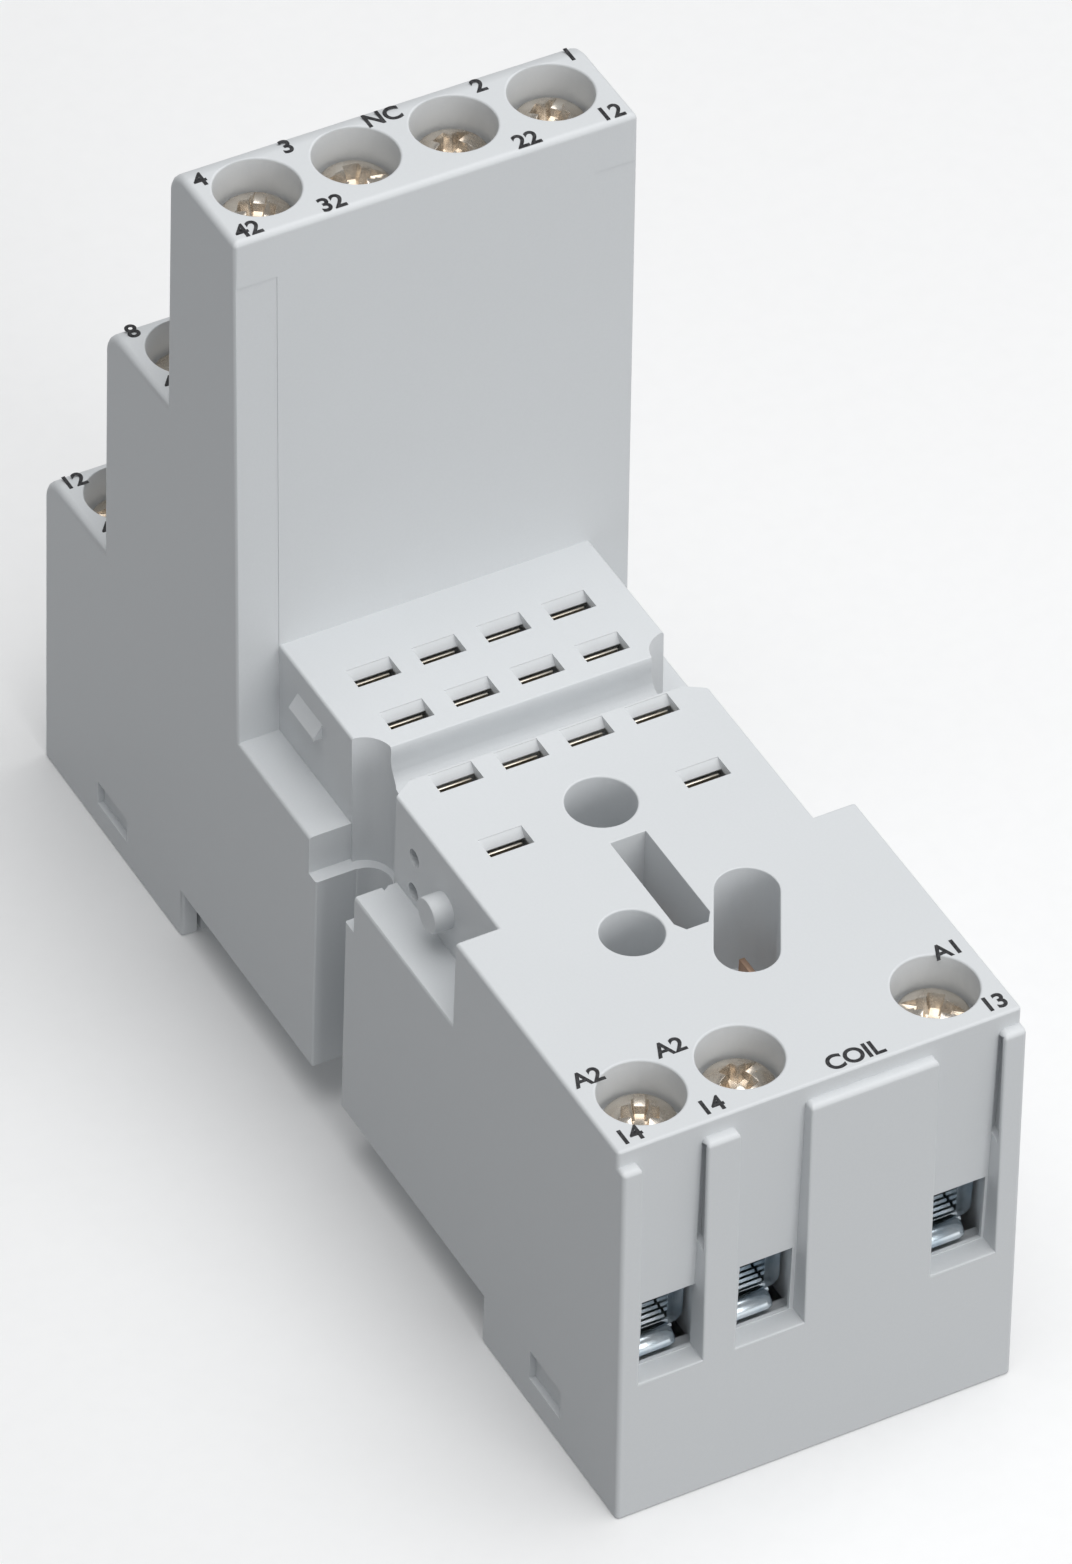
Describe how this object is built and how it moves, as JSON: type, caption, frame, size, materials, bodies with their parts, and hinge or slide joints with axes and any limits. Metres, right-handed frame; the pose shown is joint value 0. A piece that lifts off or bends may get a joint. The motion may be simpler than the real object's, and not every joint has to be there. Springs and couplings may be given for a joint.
{
  "type": "plug-in relay socket",
  "caption": "Rail-mounted socket for a four-pole plug-in relay, with blade receptacles, stepped screw terminals and rising wire clamps.",
  "frame": {"origin": "middle of the underside of the two feet, in plan at the centre of the overall box", "axes": "+X across the width towards terminal A1, +Y back from the coil end to the stepped terminals, +Z away from the rail"},
  "size_m": [0.027, 0.075, 0.0604],
  "materials": {
    "housing_plastic": "fine moulded grain, light grey",
    "base_plastic": "fine moulded grain, mid grey",
    "latch_plastic": "smooth moulded, dark grey",
    "terminal_screw": "nickel plated, lightly worn",
    "clamp_steel": "blue passivated zinc plate",
    "contact_metal": "stamped copper alloy strip"
  },
  "bodies": {
    "housing": {"housing": "housing_plastic", "base_cover": "base_plastic", "contact_42": "contact_metal", "contact_32": "contact_metal", "contact_22": "contact_metal", "contact_12": "contact_metal", "contact_44": "contact_metal", "contact_34": "contact_metal", "contact_24": "contact_metal", "contact_14": "contact_metal", "contact_41": "contact_metal", "contact_31": "contact_metal", "contact_21": "contact_metal", "contact_11": "contact_metal", "contact_A2": "contact_metal", "contact_A1": "contact_metal", "module_contact_1": "contact_metal", "module_contact_2": "contact_metal"},
    "rail_latch": {"rail_latch": "latch_plastic"},
    "screw_A2_left": {"screw_A2_left": "terminal_screw"},
    "clamp_A2_left": {"clamp_cage_A2_left": "clamp_steel"},
    "screw_A2_right": {"screw_A2_right": "terminal_screw"},
    "clamp_A2_right": {"clamp_cage_A2_right": "clamp_steel"},
    "screw_A1": {"screw_A1": "terminal_screw"},
    "clamp_A1": {"clamp_cage_A1": "clamp_steel"},
    "screw_42": {"screw_42": "terminal_screw"},
    "clamp_42": {"clamp_cage_42": "clamp_steel"},
    "screw_32": {"screw_32": "terminal_screw"},
    "clamp_32": {"clamp_cage_32": "clamp_steel"},
    "screw_22": {"screw_22": "terminal_screw"},
    "clamp_22": {"clamp_cage_22": "clamp_steel"},
    "screw_12": {"screw_12": "terminal_screw"},
    "clamp_12": {"clamp_cage_12": "clamp_steel"},
    "screw_44": {"screw_44": "terminal_screw"},
    "clamp_44": {"clamp_cage_44": "clamp_steel"},
    "screw_34": {"screw_34": "terminal_screw"},
    "clamp_34": {"clamp_cage_34": "clamp_steel"},
    "screw_24": {"screw_24": "terminal_screw"},
    "clamp_24": {"clamp_cage_24": "clamp_steel"},
    "screw_14": {"screw_14": "terminal_screw"},
    "clamp_14": {"clamp_cage_14": "clamp_steel"},
    "screw_41": {"screw_41": "terminal_screw"},
    "clamp_41": {"clamp_cage_41": "clamp_steel"},
    "screw_31": {"screw_31": "terminal_screw"},
    "clamp_31": {"clamp_cage_31": "clamp_steel"},
    "screw_21": {"screw_21": "terminal_screw"},
    "clamp_21": {"clamp_cage_21": "clamp_steel"},
    "screw_11": {"screw_11": "terminal_screw"},
    "clamp_11": {"clamp_cage_11": "clamp_steel"}
  },
  "joints": [
    {"name": "rail_latch_slide", "type": "slide", "parent": "housing", "child": "rail_latch", "axis": [0, 1, 0], "range_m": [0, 0.003], "stiffness_N_per_m": 2000},
    {"name": "screw_A2_left_turn", "type": "hinge", "parent": "housing", "child": "screw_A2_left", "pos_m": [-0.00983, -0.0318, 0.02605], "axis": [0, 0, -1], "range_deg": [0, 2160]},
    {"name": "clamp_A2_left_rise", "type": "slide", "parent": "housing", "child": "clamp_A2_left", "axis": [0, 0, 1], "range_m": [0, 0.003]},
    {"name": "screw_A2_right_turn", "type": "hinge", "parent": "housing", "child": "screw_A2_right", "pos_m": [-0.00328, -0.0318, 0.02605], "axis": [0, 0, -1], "range_deg": [0, 2160]},
    {"name": "clamp_A2_right_rise", "type": "slide", "parent": "housing", "child": "clamp_A2_right", "axis": [0, 0, 1], "range_m": [0, 0.003]},
    {"name": "screw_A1_turn", "type": "hinge", "parent": "housing", "child": "screw_A1", "pos_m": [0.00983, -0.0318, 0.02605], "axis": [0, 0, -1], "range_deg": [0, 2160]},
    {"name": "clamp_A1_rise", "type": "slide", "parent": "housing", "child": "clamp_A1", "axis": [0, 0, 1], "range_m": [0, 0.003]},
    {"name": "screw_42_turn", "type": "hinge", "parent": "housing", "child": "screw_42", "pos_m": [-0.00983, 0.0171, 0.05765], "axis": [0, 0, -1], "range_deg": [0, 2160]},
    {"name": "clamp_42_rise", "type": "slide", "parent": "housing", "child": "clamp_42", "axis": [0, 0, 1], "range_m": [0, 0.003]},
    {"name": "screw_32_turn", "type": "hinge", "parent": "housing", "child": "screw_32", "pos_m": [-0.00328, 0.0171, 0.05765], "axis": [0, 0, -1], "range_deg": [0, 2160]},
    {"name": "clamp_32_rise", "type": "slide", "parent": "housing", "child": "clamp_32", "axis": [0, 0, 1], "range_m": [0, 0.003]},
    {"name": "screw_22_turn", "type": "hinge", "parent": "housing", "child": "screw_22", "pos_m": [0.00328, 0.0171, 0.05765], "axis": [0, 0, -1], "range_deg": [0, 2160]},
    {"name": "clamp_22_rise", "type": "slide", "parent": "housing", "child": "clamp_22", "axis": [0, 0, 1], "range_m": [0, 0.003]},
    {"name": "screw_12_turn", "type": "hinge", "parent": "housing", "child": "screw_12", "pos_m": [0.00983, 0.0171, 0.05765], "axis": [0, 0, -1], "range_deg": [0, 2160]},
    {"name": "clamp_12_rise", "type": "slide", "parent": "housing", "child": "clamp_12", "axis": [0, 0, 1], "range_m": [0, 0.003]},
    {"name": "screw_44_turn", "type": "hinge", "parent": "housing", "child": "screw_44", "pos_m": [-0.00983, 0.0254, 0.03905], "axis": [0, 0, -1], "range_deg": [0, 2160]},
    {"name": "clamp_44_rise", "type": "slide", "parent": "housing", "child": "clamp_44", "axis": [0, 0, 1], "range_m": [0, 0.003]},
    {"name": "screw_34_turn", "type": "hinge", "parent": "housing", "child": "screw_34", "pos_m": [-0.00328, 0.0254, 0.03905], "axis": [0, 0, -1], "range_deg": [0, 2160]},
    {"name": "clamp_34_rise", "type": "slide", "parent": "housing", "child": "clamp_34", "axis": [0, 0, 1], "range_m": [0, 0.003]},
    {"name": "screw_24_turn", "type": "hinge", "parent": "housing", "child": "screw_24", "pos_m": [0.00328, 0.0254, 0.03905], "axis": [0, 0, -1], "range_deg": [0, 2160]},
    {"name": "clamp_24_rise", "type": "slide", "parent": "housing", "child": "clamp_24", "axis": [0, 0, 1], "range_m": [0, 0.003]},
    {"name": "screw_14_turn", "type": "hinge", "parent": "housing", "child": "screw_14", "pos_m": [0.00983, 0.0254, 0.03905], "axis": [0, 0, -1], "range_deg": [0, 2160]},
    {"name": "clamp_14_rise", "type": "slide", "parent": "housing", "child": "clamp_14", "axis": [0, 0, 1], "range_m": [0, 0.003]},
    {"name": "screw_41_turn", "type": "hinge", "parent": "housing", "child": "screw_41", "pos_m": [-0.00983, 0.0335, 0.02095], "axis": [0, 0, -1], "range_deg": [0, 2160]},
    {"name": "clamp_41_rise", "type": "slide", "parent": "housing", "child": "clamp_41", "axis": [0, 0, 1], "range_m": [0, 0.003]},
    {"name": "screw_31_turn", "type": "hinge", "parent": "housing", "child": "screw_31", "pos_m": [-0.00328, 0.0335, 0.02095], "axis": [0, 0, -1], "range_deg": [0, 2160]},
    {"name": "clamp_31_rise", "type": "slide", "parent": "housing", "child": "clamp_31", "axis": [0, 0, 1], "range_m": [0, 0.003]},
    {"name": "screw_21_turn", "type": "hinge", "parent": "housing", "child": "screw_21", "pos_m": [0.00328, 0.0335, 0.02095], "axis": [0, 0, -1], "range_deg": [0, 2160]},
    {"name": "clamp_21_rise", "type": "slide", "parent": "housing", "child": "clamp_21", "axis": [0, 0, 1], "range_m": [0, 0.003]},
    {"name": "screw_11_turn", "type": "hinge", "parent": "housing", "child": "screw_11", "pos_m": [0.00983, 0.0335, 0.02095], "axis": [0, 0, -1], "range_deg": [0, 2160]},
    {"name": "clamp_11_rise", "type": "slide", "parent": "housing", "child": "clamp_11", "axis": [0, 0, 1], "range_m": [0, 0.003]}
  ],
  "couplings": [
    {"joint": "screw_A2_left_turn", "follows": "clamp_A2_left_rise", "rad_per_m": 12566},
    {"joint": "screw_A2_right_turn", "follows": "clamp_A2_right_rise", "rad_per_m": 12566},
    {"joint": "screw_A1_turn", "follows": "clamp_A1_rise", "rad_per_m": 12566},
    {"joint": "screw_42_turn", "follows": "clamp_42_rise", "rad_per_m": 12566},
    {"joint": "screw_32_turn", "follows": "clamp_32_rise", "rad_per_m": 12566},
    {"joint": "screw_22_turn", "follows": "clamp_22_rise", "rad_per_m": 12566},
    {"joint": "screw_12_turn", "follows": "clamp_12_rise", "rad_per_m": 12566},
    {"joint": "screw_44_turn", "follows": "clamp_44_rise", "rad_per_m": 12566},
    {"joint": "screw_34_turn", "follows": "clamp_34_rise", "rad_per_m": 12566},
    {"joint": "screw_24_turn", "follows": "clamp_24_rise", "rad_per_m": 12566},
    {"joint": "screw_14_turn", "follows": "clamp_14_rise", "rad_per_m": 12566},
    {"joint": "screw_41_turn", "follows": "clamp_41_rise", "rad_per_m": 12566},
    {"joint": "screw_31_turn", "follows": "clamp_31_rise", "rad_per_m": 12566},
    {"joint": "screw_21_turn", "follows": "clamp_21_rise", "rad_per_m": 12566},
    {"joint": "screw_11_turn", "follows": "clamp_11_rise", "rad_per_m": 12566}
  ]
}
